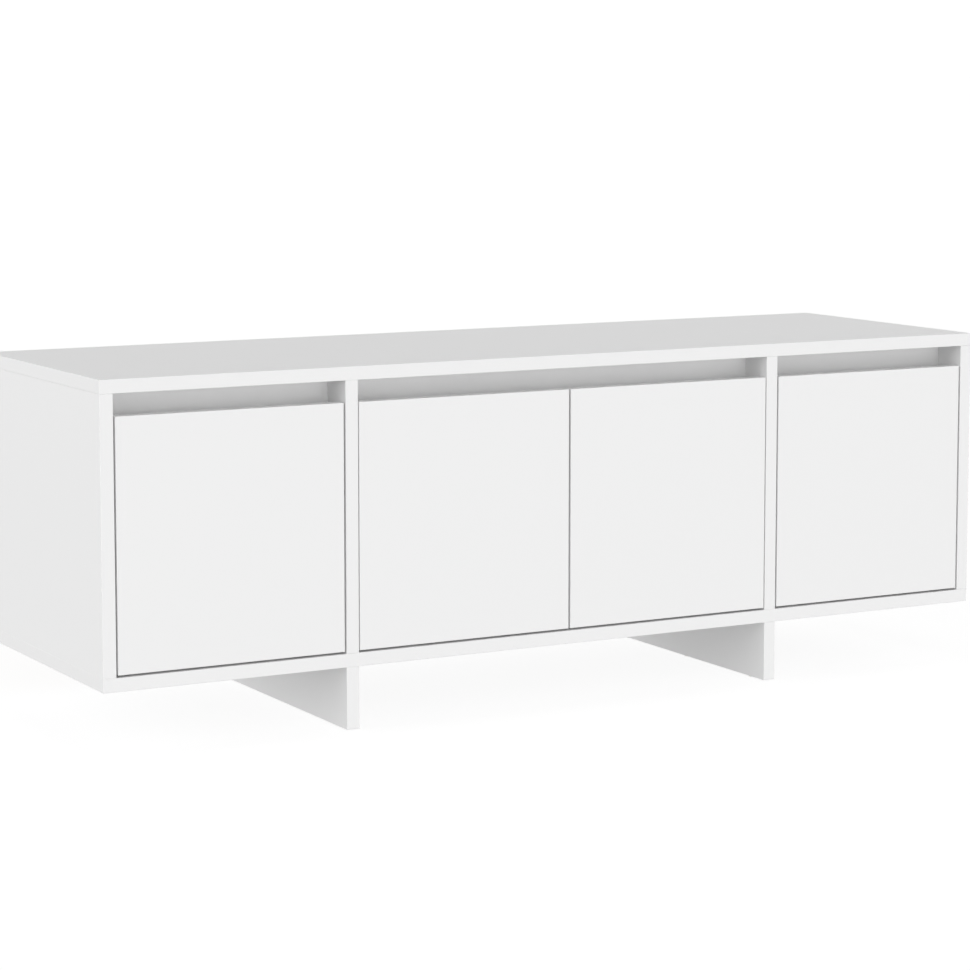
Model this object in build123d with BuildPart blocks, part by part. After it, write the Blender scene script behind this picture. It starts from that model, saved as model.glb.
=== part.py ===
from build123d import *
import os
from math import asin, cos, degrees, radians, sin, sqrt

# Low television stand: a chipboard cabinet with four inset doors on concealed hinges, on two
# plank legs. Lengths are millimetres. +Z is up, the doors face -Y and +X is to the right as the
# stand is faced. The origin is on the floor under the middle of the stand.

os.makedirs("parts", exist_ok=True)

# ---- Overall sizes ----
WIDTH = 1200
DEPTH = 370
HEIGHT = 425
BOARD = 16
LEG_HEIGHT = 75
OUTER_CLEAR = 285

# ---- Doors and the finger slot over them ----
DOOR_HEIGHT = 290
DOOR_BOTTOM_GAP = 2.5
OUTER_DOOR_GAP = 2.2
CENTRE_DOOR_GAP = 1.2
RAIL_SETBACK = 47
RAIL_HEIGHT = 60

# ---- Edge bands ----
BAND = 1
BAND_ROUND = 0.5
DOOR_BAND_ROUND = 0.8
BUTT = 0.05

# ---- Back panel, its nails and the cable holes ----
BACK = 3
BACK_INSET = 2
CABLE_HOLE_R = 30
CABLE_HOLE_Z = 250
NAIL_R = 0.8
NAIL_LENGTH = 20
NAIL_HEAD_R = 2
NAIL_HEAD = 0.6
NAIL_XS = range(-550, 551, 100)
NAIL_ZS = (150, 250, 350)

# ---- Knock-down fittings ----
CAM_R = 7.5
CAM_DEPTH = 12.5
CAM_REACH = 24
CAM_BORE_R = 3.8
CAM_YS = (-110, 120)
BOLT_HOLE_R = 4
BOLT_THREAD_R = 2.5
BOLT_THREAD = 11
BOLT_SHANK_R = 3.4
BOLT_NECK_R = 1.6
BOLT_HEAD_R = 2.8
DOWEL_R = 4
DOWEL_LONG = 20
DOWEL_SHORT = 10
DOWEL_YS = (-160, 155)
RAIL_CAM_INSET = 45
RAIL_DOWEL_INSET = 85
LEG_SCREW_YS = (-135, 5, 140)
LEG_SCREW_LENGTH = 50
LEG_SCREW_HEAD_R = 5
LEG_SCREW_SHANK_R = 3.5
LEG_SCREW_THREAD_R = 3
GLIDE_R = 6
GLIDE = 1.5
GLIDE_NAIL_R = 1
GLIDE_NAIL = 12
GLIDE_YS = (-150, 0, 145)

# ---- Concealed hinges ----
# "Out" is measured from the board that carries the hinge, "in" from the front of the door.
HINGE_FROM_DOOR_END = 75
PIVOT_OUT = 16
PIVOT_IN = 5.8
PIN_R = 1
PIN_BORE_R = 1.05
KNUCKLE_R = 2.05
CUP_OUT = 22.5
CUP_R = 17.5
CUP_WALL = 0.6
CUP_DEPTH = 13
CUP_FLOOR = 0.5
FLANGE_R = 18.5
FLANGE = 1
EAR_OUT = 28.5
EAR_SPACING = 48
EAR_R = 5
LUG = 2
LUG_GAP = 0.4
CUP_SCREW_R = 1.6
CUP_SCREW_HEAD_R = 3
CUP_SCREW_LENGTH = 12
ARM = 2
ARM_WIDTH = 14
ARM_EXIT = 25
ARM_SWEEP_R = 19.5
ARM_CORNER_R = 4
ARM_HEEL_R = 3
ARM_OUT = 8
ARM_END_IN = 76
SKIRT = 1.4
SKIRT_START_IN = 31
SKIRT_OUT = 2.2
PLATE_BLOCK_START_IN = 30
PLATE_BLOCK_WIDTH = 10.8
PLATE_WING = 1.8
PLATE_WING_R = 7
PLATE_SCREW_IN = 53
PLATE_SCREW_SPACING = 32
PLATE_SCREW_R = 3.1
PLATE_SCREW_HEAD_R = 5
PLATE_SCREW_HEAD = 2
PLATE_SCREW_LENGTH = 12
ARM_SCREW_INS = (40, 64)
ARM_SCREW_R = 2.5
ARM_SCREW_HEAD_R = 3.8
ARM_SCREW_HEAD = 1.8

# ---- Planes and faces that follow from the sizes ----
FRONT = -DEPTH / 2
REAR = DEPTH / 2 - BACK
HALF = WIDTH / 2
FLOOR_OF_CABINET = LEG_HEIGHT + BOARD
UNDER_TOP = HEIGHT - BOARD
SIDE_FACE = HALF - BOARD
DIVIDER_OUTER = SIDE_FACE - OUTER_CLEAR
DIVIDER_INNER = DIVIDER_OUTER - BOARD
DOOR_WIDTH = OUTER_CLEAR - 2 * OUTER_DOOR_GAP
DOOR_BOTTOM = FLOOR_OF_CABINET + DOOR_BOTTOM_GAP
DOOR_TOP = DOOR_BOTTOM + DOOR_HEIGHT
RAIL_FRONT = FRONT + RAIL_SETBACK
RAIL_REAR = RAIL_FRONT + BOARD
RAIL_BOTTOM = UNDER_TOP - RAIL_HEIGHT
HINGE_ZS = (DOOR_BOTTOM + HINGE_FROM_DOOR_END, DOOR_TOP - HINGE_FROM_DOOR_END)

UP = Vector(0, 0, 1)
RIGHT = Vector(1, 0, 0)
BACKWARDS = Vector(0, 1, 0)

# Each upright board: its left face, and which way its cam locks face, 1 for +X.
UPRIGHTS = {
    "side_panel_left": (-HALF, 1),
    "divider_left": (-DIVIDER_OUTER, -1),
    "divider_right": (DIVIDER_INNER, 1),
    "side_panel_right": (SIDE_FACE, -1),
}
# Each finger rail: its left and right ends.
RAILS = {
    "left": (-SIDE_FACE, -DIVIDER_OUTER),
    "centre": (-DIVIDER_INNER, DIVIDER_INNER),
    "right": (DIVIDER_OUTER, SIDE_FACE),
}
# Each door: the face that carries its hinges, the way the door reaches from it, and the gap there.
DOORS = {
    "door_left": (-SIDE_FACE, 1, OUTER_DOOR_GAP),
    "door_centre_left": (-DIVIDER_INNER, 1, CENTRE_DOOR_GAP),
    "door_centre_right": (DIVIDER_INNER, -1, CENTRE_DOOR_GAP),
    "door_right": (SIDE_FACE, -1, OUTER_DOOR_GAP),
}


def save(piece, label):
    """Label a finished piece and write it as its own STEP file."""
    piece.part.label = label
    export_step(piece.part, f"parts/{label}.step")


def block(x, y, z):
    """Fill the box between the two ends of each range."""
    with Locations((sum(x) / 2, sum(y) / 2, sum(z) / 2)):
        Box(abs(x[1] - x[0]), abs(y[1] - y[0]), abs(z[1] - z[0]))


def facing(points, direction):
    """Planes at the points, all facing one way."""
    return [Plane(origin=point, z_dir=direction) for point in points]


def drill(points, direction, radius, depth):
    """Drill round holes from the points, into the surface that faces the direction."""
    with Locations(*facing(points, direction)):
        Hole(radius, depth)


def peg(planes, radius, length, mode=Mode.ADD):
    """Stand a round peg of the given length behind each plane."""
    with Locations(*planes):
        Cylinder(radius, length, align=(Align.CENTER, Align.CENTER, Align.MAX), mode=mode)


def cross_recess(planes, size, depth, slot=1.2):
    """Cut a screwdriver's cross into the surface at each plane."""
    top = (Align.CENTER, Align.CENTER, Align.MAX)
    with Locations(*planes):
        Box(size, slot, depth, align=top, mode=Mode.SUBTRACT)
        Box(slot, size, depth, align=top, mode=Mode.SUBTRACT)


def in_order(solids, ranges):
    """The solids in the order of the ranges that they fill."""
    ordered = []
    for x, y, z in ranges:
        centre = Vector(sum(x) / 2, sum(y) / 2, sum(z) / 2)
        ordered.append(min(solids, key=lambda solid: (solid.center() - centre).length))
    return ordered


def strips(ranges, outer_faces, radius):
    """Edge-band strips in one node, each with the arrises of its outer face rounded."""
    with BuildPart() as bands:
        for x, y, z in ranges:
            block(x, y, z)
        rounded = []
        for solid, (axis, end) in zip(in_order(bands.solids(), ranges), outer_faces):
            rounded += solid.faces().sort_by(axis)[end].edges()
        fillet(rounded, radius)
    return bands


def hinge_plane(face_x, side, z):
    """A level plane through a hinge: its X runs out from the board and its Y runs in."""
    return Plane(origin=(face_x, FRONT, z), x_dir=(side, 0, 0), z_dir=(0, 0, side))


def hinge_points(face_x, side, out, inward, heights):
    """Points of one hinge feature at each of the given heights."""
    return [(face_x + side * out, FRONT + inward, z) for z in heights]


def spread(heights, spacing):
    """Two heights for each one given, half the spacing above and below it."""
    return [z + half for z in heights for half in (-spacing / 2, spacing / 2)]


# ---- Where the fittings go ----
# Each cam lock: the middle of its face, the way it faces, and the way its bolt comes in.
CAMS = []
DOWELS = []
for left_face, faces in UPRIGHTS.values():
    middle_x = left_face + BOARD / 2
    cam_x = middle_x + faces * BOARD / 2
    for end_z, towards in ((UNDER_TOP, UP), (FLOOR_OF_CABINET, -UP)):
        for y in CAM_YS:
            CAMS.append((Vector(cam_x, y, end_z) - towards * CAM_REACH, RIGHT * faces, towards))
        for y in DOWEL_YS:
            DOWELS.append((Vector(middle_x, y, end_z), towards))
for left_end, right_end in RAILS.values():
    for x in (left_end + RAIL_CAM_INSET, right_end - RAIL_CAM_INSET):
        CAMS.append((Vector(x, RAIL_REAR, UNDER_TOP - CAM_REACH), BACKWARDS, UP))
    for x in (left_end + RAIL_DOWEL_INSET, right_end - RAIL_DOWEL_INSET):
        DOWELS.append((Vector(x, RAIL_FRONT + BOARD / 2, UNDER_TOP), UP))

# Each cam bolt is screwed into the joint face that its cam pulls on.
BOLTS = [(point - faces * (BOARD / 2) + towards * CAM_REACH, towards) for point, faces, towards in CAMS]


def at_joint(fittings, z):
    """The points of the fittings whose joint face is at this height."""
    return [point for point, towards in fittings if abs(point.Z - z) < 1]


# ---- Top and bottom panels ----
SLAB_X = (-HALF + BAND, HALF - BAND)
BOARD_Y = (FRONT + BAND, REAR)

with BuildPart() as top_panel:
    block(SLAB_X, BOARD_Y, (UNDER_TOP, HEIGHT))
    drill(at_joint(DOWELS, UNDER_TOP), -UP, DOWEL_R, DOWEL_SHORT)
    drill(at_joint(BOLTS, UNDER_TOP), -UP, BOLT_THREAD_R, BOLT_THREAD)
    drill([(x, REAR, HEIGHT - BOARD / 2) for x in NAIL_XS], BACKWARDS, NAIL_R, NAIL_LENGTH - BACK)
save(top_panel, "top_panel")

LEG_XS = (-DIVIDER_OUTER, DIVIDER_INNER)
LEG_SCREW_POINTS = [(x + BOARD / 2, y, FLOOR_OF_CABINET) for x in LEG_XS for y in LEG_SCREW_YS]

with BuildPart() as bottom_panel:
    block(SLAB_X, BOARD_Y, (LEG_HEIGHT, FLOOR_OF_CABINET))
    drill(at_joint(DOWELS, FLOOR_OF_CABINET), UP, DOWEL_R, DOWEL_SHORT)
    drill(at_joint(BOLTS, FLOOR_OF_CABINET), UP, BOLT_THREAD_R, BOLT_THREAD)
    drill([(x, REAR, LEG_HEIGHT + BOARD / 2) for x in NAIL_XS], BACKWARDS, NAIL_R, NAIL_LENGTH - BACK)
    with Locations(*facing(LEG_SCREW_POINTS, UP)):
        CounterSinkHole(LEG_SCREW_SHANK_R, LEG_SCREW_HEAD_R, BOARD, 90)
save(bottom_panel, "bottom_panel")

# ---- Sides and dividers ----
for label, (left_face, faces) in UPRIGHTS.items():
    right_face = left_face + BOARD
    middle_x = left_face + BOARD / 2
    with BuildPart() as upright:
        block((left_face, right_face), BOARD_Y, (FLOOR_OF_CABINET, UNDER_TOP))
        for point, cam_faces, towards in CAMS:
            if left_face - 1 < point.X < right_face + 1 and cam_faces.Y == 0:
                drill([point], cam_faces, CAM_R, CAM_DEPTH)
                bolt_way = point - cam_faces * (BOARD / 2) + towards * CAM_REACH
                drill([bolt_way], towards, BOLT_HOLE_R, CAM_REACH)
        for point, towards in DOWELS:
            if abs(point.X - middle_x) < 1:
                drill([point], towards, DOWEL_R, DOWEL_LONG)
        drill([(middle_x, REAR, z) for z in NAIL_ZS], BACKWARDS, NAIL_R, NAIL_LENGTH - BACK)
        for face_x, side, gap in DOORS.values():
            if face_x in (left_face, right_face):
                screw_zs = spread(HINGE_ZS, PLATE_SCREW_SPACING)
                screw_points = hinge_points(face_x, side, 0, PLATE_SCREW_IN, screw_zs)
                drill(screw_points, RIGHT * side, PLATE_SCREW_R, PLATE_SCREW_LENGTH)
    save(upright, label)

# ---- Finger rails, set back under the top ----
for label, (left_end, right_end) in RAILS.items():
    with BuildPart() as rail:
        block((left_end, right_end), (RAIL_FRONT, RAIL_REAR), (RAIL_BOTTOM + BAND, UNDER_TOP))
        for x in (left_end + RAIL_CAM_INSET, right_end - RAIL_CAM_INSET):
            drill([(x, RAIL_REAR, UNDER_TOP - CAM_REACH)], BACKWARDS, CAM_R, CAM_DEPTH)
            drill([(x, RAIL_FRONT + BOARD / 2, UNDER_TOP)], UP, BOLT_HOLE_R, CAM_REACH)
        for x in (left_end + RAIL_DOWEL_INSET, right_end - RAIL_DOWEL_INSET):
            drill([(x, RAIL_FRONT + BOARD / 2, UNDER_TOP)], UP, DOWEL_R, DOWEL_LONG)
    save(rail, f"finger_rail_{label}")

# ---- Legs: planks on edge under the dividers ----
for label, left_face in zip(("left", "right"), LEG_XS):
    middle_x = left_face + BOARD / 2
    with BuildPart() as leg:
        block((left_face, left_face + BOARD), (FRONT + BAND, REAR - BAND), (GLIDE, LEG_HEIGHT))
        thread = LEG_SCREW_LENGTH - BOARD
        drill([(middle_x, y, LEG_HEIGHT) for y in LEG_SCREW_YS], UP, LEG_SCREW_THREAD_R, thread)
        drill([(middle_x, y, GLIDE) for y in GLIDE_YS], -UP, GLIDE_NAIL_R, GLIDE_NAIL)
    save(leg, f"leg_{label}")

# ---- Back panel ----
COMPARTMENT_XS = [(left_end + right_end) / 2 for left_end, right_end in RAILS.values()]
BACK_Z = (LEG_HEIGHT + BACK_INSET, HEIGHT - BACK_INSET)
NAILS = [(x, REAR + BACK, z) for x in NAIL_XS for z in (LEG_HEIGHT + BOARD / 2, HEIGHT - BOARD / 2)]
NAILS += [(face + BOARD / 2, REAR + BACK, z) for face, cam_side in UPRIGHTS.values() for z in NAIL_ZS]

with BuildPart() as back_panel:
    block((-HALF + BACK_INSET, HALF - BACK_INSET), (REAR, REAR + BACK), BACK_Z)
    drill([(x, REAR + BACK, CABLE_HOLE_Z) for x in COMPARTMENT_XS], BACKWARDS, CABLE_HOLE_R, BACK)
    with Locations(*facing(NAILS, BACKWARDS)):
        CounterBoreHole(NAIL_R, NAIL_HEAD_R, NAIL_HEAD, BACK)
save(back_panel, "back_panel")

with BuildPart() as back_nails:
    peg(facing(NAILS, BACKWARDS), NAIL_R, NAIL_LENGTH)
    peg(facing(NAILS, BACKWARDS), NAIL_HEAD_R, NAIL_HEAD)
save(back_nails, "back_nails")

# ---- Edge bands of the cabinet ----
for label, z in (("top", (UNDER_TOP, HEIGHT)), ("bottom", (LEG_HEIGHT, FLOOR_OF_CABINET))):
    end_y = (FRONT + BAND + BUTT, REAR)
    ranges = [
        ((-HALF, HALF), (FRONT, FRONT + BAND), z),
        ((-HALF, -HALF + BAND), end_y, z),
        ((HALF - BAND, HALF), end_y, z),
    ]
    bands = strips(ranges, ((Axis.Y, 0), (Axis.X, 0), (Axis.X, -1)), BAND_ROUND)
    save(bands, f"{label}_panel_edge_bands")

for label, names in (
    ("side_panel", ("side_panel_left", "side_panel_right")),
    ("divider", ("divider_left", "divider_right")),
):
    faces = [UPRIGHTS[name][0] for name in names]
    ranges = [
        ((face, face + BOARD), (FRONT, FRONT + BAND), (FLOOR_OF_CABINET, UNDER_TOP)) for face in faces
    ]
    bands = strips(ranges, [(Axis.Y, 0)] * len(ranges), BAND_ROUND)
    save(bands, f"{label}_edge_bands")

ranges = [(ends, (RAIL_FRONT, RAIL_REAR), (RAIL_BOTTOM, RAIL_BOTTOM + BAND)) for ends in RAILS.values()]
save(strips(ranges, [(Axis.Z, 0)] * len(ranges), BAND_ROUND), "finger_rail_edge_bands")

ranges = []
for face in LEG_XS:
    ranges.append(((face, face + BOARD), (FRONT, FRONT + BAND), (GLIDE, LEG_HEIGHT)))
    ranges.append(((face, face + BOARD), (REAR - BAND, REAR), (GLIDE, LEG_HEIGHT)))
save(strips(ranges, [(Axis.Y, 0), (Axis.Y, -1)] * 2, BAND_ROUND), "leg_edge_bands")

# ---- Cam locks, cam bolts and dowels ----
CAM_PLANES = [Plane(origin=point, z_dir=faces) for point, faces, towards in CAMS]

with BuildPart() as cam_locks:
    peg(CAM_PLANES, CAM_R, CAM_DEPTH)
    inner_ends = [point - faces * (BOARD / 2) + towards * CAM_R for point, faces, towards in CAMS]
    bolt_ways = [Plane(origin=point, z_dir=cam[2]) for point, cam in zip(inner_ends, CAMS)]
    peg(bolt_ways, CAM_BORE_R, CAM_R * 1.5, Mode.SUBTRACT)
    cross_recess(CAM_PLANES, CAM_R * 1.1, 2, slot=1.6)
save(cam_locks, "cam_locks")

with BuildPart() as cam_bolts:
    peg([Plane(origin=point + towards * BOLT_THREAD, z_dir=towards) for point, towards in BOLTS],
        BOLT_THREAD_R, BOLT_THREAD)
    for radius, start, end in (
        (BOLT_SHANK_R, 0, CAM_REACH - 6),
        (BOLT_NECK_R, CAM_REACH - 6, CAM_REACH - 2),
        (BOLT_HEAD_R, CAM_REACH - 2, CAM_REACH + 1),
    ):
        starts = [Plane(origin=point - towards * start, z_dir=towards) for point, towards in BOLTS]
        peg(starts, radius, end - start)
save(cam_bolts, "cam_bolts")

with BuildPart() as dowels:
    for point, towards in DOWELS:
        tip = Plane(origin=point + towards * (DOWEL_SHORT - 0.2), z_dir=towards)
        peg([tip], DOWEL_R, DOWEL_SHORT + DOWEL_LONG - 0.4)
    chamfer(dowels.edges().filter_by(GeomType.CIRCLE), 0.8)
save(dowels, "dowels")

# ---- Leg screws and foot glides ----
HEAD_TAPER = LEG_SCREW_HEAD_R - LEG_SCREW_SHANK_R
SCREW_TOPS = facing(LEG_SCREW_POINTS, UP)
BELOW_HEAD = (Align.CENTER, Align.CENTER, Align.MAX)

with BuildPart() as leg_screws:
    peg(SCREW_TOPS, LEG_SCREW_SHANK_R, BOARD)
    peg(SCREW_TOPS, LEG_SCREW_THREAD_R, LEG_SCREW_LENGTH)
    with Locations(*SCREW_TOPS):
        Cone(LEG_SCREW_SHANK_R, LEG_SCREW_HEAD_R, HEAD_TAPER, align=BELOW_HEAD)
        with Locations((0, 0, -3)):
            with BuildSketch(Plane.XY, mode=Mode.PRIVATE) as hex_socket:
                RegularPolygon(2, 6)
            extrude(hex_socket.sketch, amount=3, mode=Mode.SUBTRACT)
save(leg_screws, "leg_screws")

GLIDE_POINTS = [(x + BOARD / 2, y, GLIDE) for x in LEG_XS for y in GLIDE_YS]

with BuildPart() as foot_glides:
    with Locations(*facing([(x, y, 0) for x, y, z in GLIDE_POINTS], -UP)):
        Cylinder(GLIDE_R, GLIDE, align=(Align.CENTER, Align.CENTER, Align.MAX))
    fillet(foot_glides.edges().filter_by(GeomType.CIRCLE).group_by(Axis.Z)[0], 0.6)
    with Locations(*facing(GLIDE_POINTS, UP)):
        Cylinder(GLIDE_NAIL_R, GLIDE_NAIL, align=(Align.CENTER, Align.CENTER, Align.MIN))
save(foot_glides, "foot_glides")

# ---- Doors, their edge bands and their hinges ----
SWEEP_OFFSET = degrees(asin(ARM_CORNER_R / (ARM_SWEEP_R - ARM_CORNER_R)))
ARM_STRAIGHT = sqrt((ARM_SWEEP_R - ARM_CORNER_R) ** 2 - ARM_CORNER_R**2)
SWEEP_ANGLE = 90 - ARM_EXIT - SWEEP_OFFSET
EAR_ZS = spread(HINGE_ZS, EAR_SPACING)
PLATE_SCREW_ZS = spread(HINGE_ZS, PLATE_SCREW_SPACING)
PLATE_LENGTH = ARM_END_IN - PLATE_BLOCK_START_IN
ARM_UNDER = ARM_OUT - ARM / 2
ARM_OVER = ARM_OUT + ARM / 2
LUG_Z = ARM_WIDTH / 2 + LUG_GAP + LUG / 2

for label, (face_x, side, gap) in DOORS.items():
    which = label.removeprefix("door_")
    outward = RIGHT * side
    low_x, high_x = sorted((face_x + side * gap, face_x + side * (gap + DOOR_WIDTH)))
    door_y = (FRONT, FRONT + BOARD)
    cup_mouths = facing(hinge_points(face_x, side, CUP_OUT, BOARD, HINGE_ZS), BACKWARDS)
    ear_points = hinge_points(face_x, side, EAR_OUT, BOARD, EAR_ZS)
    ear_tops = facing(hinge_points(face_x, side, EAR_OUT, BOARD + FLANGE, EAR_ZS), BACKWARDS)

    with BuildPart() as door:
        block((low_x + BAND, high_x - BAND), door_y, (DOOR_BOTTOM + BAND, DOOR_TOP - BAND))
        with Locations(*cup_mouths):
            Hole(CUP_R, CUP_DEPTH)
        drill(ear_points, BACKWARDS, CUP_SCREW_R, CUP_SCREW_LENGTH)
    save(door, label)

    inner_x = (low_x + BAND + BUTT, high_x - BAND - BUTT)
    door_z = (DOOR_BOTTOM, DOOR_TOP)
    ranges = [
        ((low_x, low_x + BAND), door_y, door_z),
        ((high_x - BAND, high_x), door_y, door_z),
        (inner_x, door_y, (DOOR_BOTTOM, DOOR_BOTTOM + BAND)),
        (inner_x, door_y, (DOOR_TOP - BAND, DOOR_TOP)),
    ]
    outer = ((Axis.X, 0), (Axis.X, -1), (Axis.Z, 0), (Axis.Z, -1))
    save(strips(ranges, outer, DOOR_BAND_ROUND), f"{label}_edge_bands")

    with BuildPart() as hinge_cups:
        for mouth in cup_mouths:
            rim = Plane(origin=mouth.origin, x_dir=outward, z_dir=BACKWARDS)
            ears = [(EAR_OUT - CUP_OUT, half) for half in (-EAR_SPACING / 2, EAR_SPACING / 2)]
            with BuildSketch(rim) as flange:
                Circle(FLANGE_R)
                with Locations(*ears):
                    Circle(EAR_R)
                make_hull()
            extrude(amount=FLANGE)
        with Locations(*cup_mouths):
            Cylinder(CUP_R, CUP_DEPTH, align=BELOW_HEAD)
        fillet(hinge_cups.edges().group_by(Axis.Y)[-1], 0.4)
        rims = [mouth.offset(FLANGE) for mouth in cup_mouths]
        peg(rims, CUP_R - CUP_WALL, CUP_DEPTH + FLANGE - CUP_FLOOR, Mode.SUBTRACT)
        floor_in = BOARD - CUP_DEPTH + CUP_FLOOR
        for z in HINGE_ZS:
            for lug_z in (z - LUG_Z, z + LUG_Z):
                lug_x = [face_x + side * (PIVOT_OUT + half) for half in (-3, 3)]
                lug_y = (FRONT + floor_in - CUP_FLOOR / 2, FRONT + PIVOT_IN + 2.6)
                block(lug_x, lug_y, (lug_z - LUG / 2, lug_z + LUG / 2))
        pin_points = hinge_points(face_x, side, PIVOT_OUT, PIVOT_IN, HINGE_ZS)
        with Locations(*facing(pin_points, UP)):
            Cylinder(PIN_R, 2 * LUG_Z + LUG, mode=Mode.SUBTRACT)
        with Locations(*ear_tops):
            Cylinder(CUP_SCREW_R, FLANGE, align=BELOW_HEAD, mode=Mode.SUBTRACT)
            Cone(CUP_SCREW_R, CUP_SCREW_HEAD_R, FLANGE, align=BELOW_HEAD, mode=Mode.SUBTRACT)
    save(hinge_cups, f"hinge_cups_{which}")

    with BuildPart() as hinge_pins:
        with Locations(*facing(pin_points, UP)):
            Cylinder(PIN_R, 2 * LUG_Z + LUG)
    save(hinge_pins, f"hinge_pins_{which}")

    with BuildPart() as cup_screws:
        peg(ear_tops, CUP_SCREW_R, CUP_SCREW_LENGTH + FLANGE)
        with Locations(*ear_tops):
            Cone(CUP_SCREW_R, CUP_SCREW_HEAD_R, FLANGE, align=BELOW_HEAD)
        cross_recess(ear_tops, 3, 0.8, slot=0.8)
    save(cup_screws, f"hinge_cup_screws_{which}")

    with BuildPart() as hinge_arms:
        for z in HINGE_ZS:
            level = hinge_plane(face_x, side, z)
            with BuildSketch(level) as gooseneck:
                with BuildLine():
                    run = PolarLine((PIVOT_OUT, PIVOT_IN), ARM_STRAIGHT, ARM_EXIT)
                    turn = JernArc(run @ 1, run % 1, ARM_CORNER_R, 90 + SWEEP_OFFSET)
                    sweep_arc = JernArc(turn @ 1, turn % 1, ARM_SWEEP_R, SWEEP_ANGLE)
                    bridge = Line(sweep_arc @ 1, (ARM_OUT + ARM_HEEL_R, PIVOT_IN + ARM_SWEEP_R))
                    heel = JernArc(bridge @ 1, bridge % 1, ARM_HEEL_R, -90)
                    Line(heel @ 1, (ARM_OUT, ARM_END_IN))
                trace(line_width=ARM)
                with Locations((PIVOT_OUT, PIVOT_IN)):
                    Circle(KNUCKLE_R)
            extrude(amount=ARM_WIDTH / 2, both=True)
            skirt_x = (face_x + side * SKIRT_OUT, face_x + side * ARM_UNDER)
            skirt_y = (FRONT + SKIRT_START_IN, FRONT + ARM_END_IN)
            half = ARM_WIDTH / 2
            block(skirt_x, skirt_y, (z - half, z - half + SKIRT))
            block(skirt_x, skirt_y, (z + half - SKIRT, z + half))
        with Locations(*facing(pin_points, UP)):
            Cylinder(PIN_BORE_R, ARM_WIDTH, mode=Mode.SUBTRACT)
        for screw_in in ARM_SCREW_INS:
            points = hinge_points(face_x, side, ARM_OVER, screw_in, HINGE_ZS)
            peg(facing(points, outward), ARM_SCREW_R, ARM, Mode.SUBTRACT)
    save(hinge_arms, f"hinge_arms_{which}")

    with BuildPart() as hinge_plates:
        for z in HINGE_ZS:
            seat = Plane(origin=(face_x, FRONT, z), x_dir=(0, 1, 0), z_dir=outward)
            with BuildSketch(seat) as wings:
                with Locations((PLATE_SCREW_IN, 0)):
                    SlotCenterToCenter(PLATE_SCREW_SPACING, 2 * PLATE_WING_R, rotation=90)
                    RectangleRounded(PLATE_LENGTH, PLATE_BLOCK_WIDTH, 3)
            extrude(amount=PLATE_WING)
            with BuildSketch(seat.offset(PLATE_WING)) as spine:
                with Locations((PLATE_BLOCK_START_IN + PLATE_LENGTH / 2, 0)):
                    RectangleRounded(PLATE_LENGTH, PLATE_BLOCK_WIDTH, 3)
            extrude(amount=ARM_UNDER - PLATE_WING)
        for screw_in in ARM_SCREW_INS:
            points = hinge_points(face_x, side, ARM_UNDER, screw_in, HINGE_ZS)
            drill(points, outward, ARM_SCREW_R, ARM_UNDER - 1)
        points = hinge_points(face_x, side, PLATE_WING, PLATE_SCREW_IN, PLATE_SCREW_ZS)
        drill(points, outward, PLATE_SCREW_R, PLATE_WING)
    save(hinge_plates, f"hinge_plates_{which}")

# ---- Screws of the mounting plates and of the arms ----
with BuildPart() as plate_screws:
    for face_x, side, gap in DOORS.values():
        wing = hinge_points(face_x, side, PLATE_WING, PLATE_SCREW_IN, PLATE_SCREW_ZS)
        peg(facing(wing, RIGHT * side), PLATE_SCREW_R, PLATE_SCREW_LENGTH + PLATE_WING)
        over = hinge_points(face_x, side, PLATE_WING + PLATE_SCREW_HEAD, PLATE_SCREW_IN, PLATE_SCREW_ZS)
        peg(facing(over, RIGHT * side), PLATE_SCREW_HEAD_R, PLATE_SCREW_HEAD)
        cross_recess(facing(over, RIGHT * side), 5, 1.4)
save(plate_screws, "hinge_plate_screws")

with BuildPart() as arm_screws:
    for face_x, side, gap in DOORS.values():
        for screw_in in ARM_SCREW_INS:
            over = hinge_points(face_x, side, ARM_OVER + ARM_SCREW_HEAD, screw_in, HINGE_ZS)
            length = ARM + ARM_SCREW_HEAD + ARM_UNDER - 1
            peg(facing(over, RIGHT * side), ARM_SCREW_R, length)
            peg(facing(over, RIGHT * side), ARM_SCREW_HEAD_R, ARM_SCREW_HEAD)
            cross_recess(facing(over, RIGHT * side), 4.4, 1.2)
save(arm_screws, "hinge_arm_screws")
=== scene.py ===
from math import asin, cos, pi, radians, sin

import bmesh
import bpy
from mathutils import Matrix, Vector


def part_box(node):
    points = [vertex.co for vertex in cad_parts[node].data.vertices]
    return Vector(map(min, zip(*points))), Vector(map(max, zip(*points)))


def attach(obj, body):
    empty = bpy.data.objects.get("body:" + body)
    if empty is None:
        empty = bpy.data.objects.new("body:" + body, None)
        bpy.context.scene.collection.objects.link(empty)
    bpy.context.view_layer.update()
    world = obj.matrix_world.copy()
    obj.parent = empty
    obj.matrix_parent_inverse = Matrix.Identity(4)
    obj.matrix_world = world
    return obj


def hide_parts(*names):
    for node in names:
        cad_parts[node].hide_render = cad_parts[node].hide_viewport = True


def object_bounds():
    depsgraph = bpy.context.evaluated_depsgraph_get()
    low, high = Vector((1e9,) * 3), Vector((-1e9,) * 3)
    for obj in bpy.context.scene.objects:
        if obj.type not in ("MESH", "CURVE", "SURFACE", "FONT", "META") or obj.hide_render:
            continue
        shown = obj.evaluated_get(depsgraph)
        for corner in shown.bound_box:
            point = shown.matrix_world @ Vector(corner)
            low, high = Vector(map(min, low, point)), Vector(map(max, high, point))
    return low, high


bl_info = {
    "name": "Television stand with doors",
    "version": (1, 0, 0),
    "blender": (4, 5, 0),
    "location": "3D View > Sidebar > Stand",
    "description": "Finishes a packed television stand: boards, bands, hinges, fittings and studio",
    "category": "Object",
}

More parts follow.
